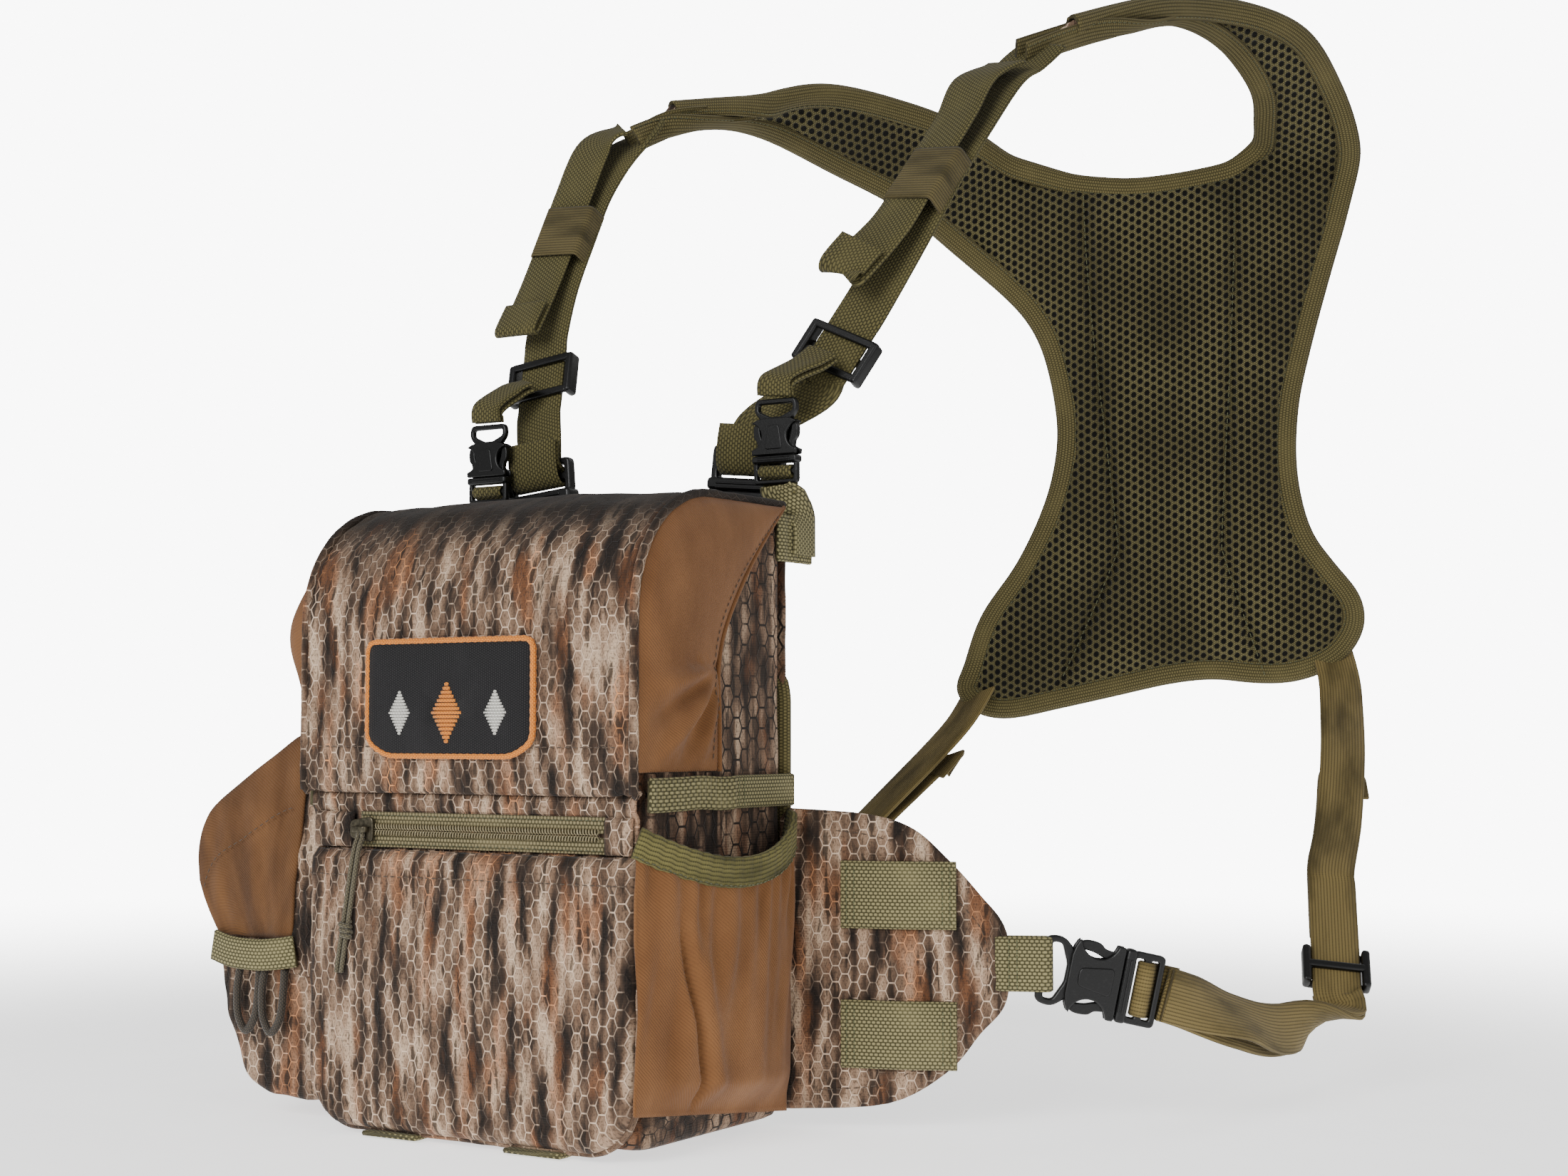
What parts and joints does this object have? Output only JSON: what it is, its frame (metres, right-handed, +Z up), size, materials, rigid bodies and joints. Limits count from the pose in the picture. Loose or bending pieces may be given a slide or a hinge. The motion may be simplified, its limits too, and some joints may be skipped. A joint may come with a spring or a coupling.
{
  "type": "binocular harness pack",
  "caption": "Chest pouch with a fold-down lid, zip pocket and side pockets, carried on a padded mesh yoke with adjustable webbing and side-release buckles.",
  "frame": {"origin": "middle of the chest panel's rear face, which rests on the wearer's chest", "axes": "+X towards the wearer's left hand, which is right when the pack is seen from in front; +Y out of the chest panel's rear face, towards the wearer; +Z up"},
  "size_m": [0.4378, 0.4529, 0.4762],
  "materials": {
    "camo_lid": "bark-pattern ripstop fabric with a pale hexagonal grid",
    "camo_body": "bark-pattern ripstop fabric",
    "stretch_twill": "brown stretch twill",
    "webbing_green": "ribbed olive webbing",
    "webbing_strap": "plain-weave olive webbing",
    "elastic_tan": "fine-ribbed olive-tan elastic",
    "keeper_elastic": "olive-brown ribbed elastic",
    "spacer_mesh": "olive spacer mesh with grosgrain binding",
    "buckle_black": "black moulded acetal, fine satin grain",
    "zip_tape": "olive herringbone zip tape and moulded coil",
    "zip_metal": "dark olive enamelled metal",
    "cord_olive": "braided cord",
    "cord_dark": "dark braided elastic cord",
    "badge": "black embroidered patch with an amber merrowed edge",
    "foam": "closed-cell foam"
  },
  "bodies": {
    "pouch": {"pouch_shell": "camo_body", "chest_panel": "camo_body", "chest_foam": "foam", "lid_hinge_strip": "camo_lid", "front_pocket": "camo_lid", "zip_tape": "zip_tape", "zip_end_tabs": "camo_lid", "stretch_pocket": "stretch_twill", "stretch_pocket_hem": "webbing_green", "band_right": "webbing_green", "band_left": "webbing_green", "side_pouch": "camo_body", "molle_webbing": "webbing_green", "base_webbing": "webbing_green", "wing_right": "camo_lid", "wing_left": "camo_lid", "wing_tab_right": "webbing_green", "wing_tab_left": "webbing_green", "yoke_back": "spacer_mesh", "yoke_arm_right": "spacer_mesh", "yoke_arm_left": "spacer_mesh", "side_buckle_female_right": "buckle_black", "triglide_right": "buckle_black", "strap_buckle_female_right": "buckle_black", "tether_buckle_male_right": "buckle_black", "side_strap_right": "elastic_tan", "shoulder_web_right": "webbing_strap", "keeper_right": "keeper_elastic", "strap_anchor_right": "webbing_green", "tether_web_right": "webbing_strap", "side_buckle_female_left": "buckle_black", "triglide_left": "buckle_black", "strap_buckle_female_left": "buckle_black", "tether_buckle_male_left": "buckle_black", "side_strap_left": "elastic_tan", "shoulder_web_left": "webbing_strap", "keeper_left": "keeper_elastic", "strap_anchor_left": "webbing_green", "tether_web_left": "webbing_strap"},
    "lid": {"lid_panel": "camo_lid", "lid_gusset_right": "stretch_twill", "lid_gusset_left": "stretch_twill", "lid_badge": "badge"},
    "hood": {"side_pouch_hood": "stretch_twill", "side_pouch_band": "webbing_green", "side_pouch_lanyard": "cord_dark"},
    "slider": {"zip_slider": "zip_metal"},
    "pull": {"zip_cord": "cord_olive"},
    "side_male_right": {"side_buckle_male_right": "buckle_black"},
    "side_prong_upper_right": {"side_prong_upper_right": "buckle_black"},
    "side_prong_lower_right": {"side_prong_lower_right": "buckle_black"},
    "strap_male_right": {"strap_buckle_male_right": "buckle_black"},
    "tether_clip_right": {"tether_buckle_female_right": "buckle_black"},
    "adjuster_right": {"side_adjuster_right": "buckle_black"},
    "side_male_left": {"side_buckle_male_left": "buckle_black"},
    "side_prong_upper_left": {"side_prong_upper_left": "buckle_black"},
    "side_prong_lower_left": {"side_prong_lower_left": "buckle_black"},
    "strap_male_left": {"strap_buckle_male_left": "buckle_black"},
    "tether_clip_left": {"tether_buckle_female_left": "buckle_black"},
    "adjuster_left": {"side_adjuster_left": "buckle_black"}
  },
  "joints": [
    {"name": "lid_hinge", "type": "hinge", "parent": "pouch", "child": "lid", "pos_m": [0, -0.1045, -0.0003], "axis": [1, 0, 0], "range_deg": [0, 120]},
    {"name": "hood_hinge", "type": "hinge", "parent": "pouch", "child": "hood", "pos_m": [-0.11, -0.0137, 0.0064], "axis": [-0.8487, 0, -0.5288], "range_deg": [0, 100]},
    {"name": "zip_travel", "type": "slide", "parent": "pouch", "child": "slider", "axis": [1, 0, 0], "range_m": [0, 0.1]},
    {"name": "zip_pull_swing", "type": "hinge", "parent": "slider", "child": "pull", "pos_m": [-0.047, -0.1037, -0.014], "axis": [-1, 0, 0], "range_deg": [0, 60]},
    {"name": "side_release_right", "type": "slide", "parent": "pouch", "child": "side_male_right", "axis": [0.8286, 0.5191, -0.2096], "range_m": [0, 0.024], "deforming": ["side_strap_right"]},
    {"name": "side_squeeze_upper_right", "type": "hinge", "parent": "side_male_right", "child": "side_prong_upper_right", "pos_m": [0.18875, 0.04574, -0.06119], "axis": [0.5309, -0.8474, 0], "range_deg": [0, 7], "stiffness_Nm_per_rad": 0.2},
    {"name": "side_squeeze_lower_right", "type": "hinge", "parent": "side_male_right", "child": "side_prong_lower_right", "pos_m": [0.1854, 0.04364, -0.07963], "axis": [-0.5309, 0.8474, 0], "range_deg": [0, 7], "stiffness_Nm_per_rad": 0.2},
    {"name": "strap_release_right", "type": "slide", "parent": "pouch", "child": "strap_male_right", "axis": [0.0995, 0.0298, 0.9946], "range_m": [0, 0.026], "deforming": ["shoulder_web_right"]},
    {"name": "tether_release_right", "type": "slide", "parent": "pouch", "child": "tether_clip_right", "axis": [0, 0, 1], "range_m": [0, 0.015], "deforming": ["tether_web_right"]},
    {"name": "side_adjust_right", "type": "slide", "parent": "pouch", "child": "adjuster_right", "axis": [-0.24, 0.64, 0.73], "range_m": [0, 0.03]},
    {"name": "side_release_left", "type": "slide", "parent": "pouch", "child": "side_male_left", "axis": [-0.8286, 0.5191, -0.2096], "range_m": [0, 0.024], "deforming": ["side_strap_left"]},
    {"name": "side_squeeze_upper_left", "type": "hinge", "parent": "side_male_left", "child": "side_prong_upper_left", "pos_m": [-0.18875, 0.04574, -0.06119], "axis": [0.5309, 0.8474, 0], "range_deg": [0, 7], "stiffness_Nm_per_rad": 0.2},
    {"name": "side_squeeze_lower_left", "type": "hinge", "parent": "side_male_left", "child": "side_prong_lower_left", "pos_m": [-0.1854, 0.04364, -0.07963], "axis": [-0.5309, -0.8474, 0], "range_deg": [0, 7], "stiffness_Nm_per_rad": 0.2},
    {"name": "strap_release_left", "type": "slide", "parent": "pouch", "child": "strap_male_left", "axis": [-0.0995, 0.0298, 0.9946], "range_m": [0, 0.026], "deforming": ["shoulder_web_left"]},
    {"name": "tether_release_left", "type": "slide", "parent": "pouch", "child": "tether_clip_left", "axis": [0, 0, 1], "range_m": [0, 0.015], "deforming": ["tether_web_left"]},
    {"name": "side_adjust_left", "type": "slide", "parent": "pouch", "child": "adjuster_left", "axis": [0.4899, 0.5199, 0.6998], "range_m": [0, 0.03]}
  ],
  "couplings": [
    {"joint": "side_squeeze_lower_right", "follows": "side_squeeze_upper_right", "ratio": 1},
    {"joint": "side_squeeze_lower_left", "follows": "side_squeeze_upper_left", "ratio": 1}
  ]
}
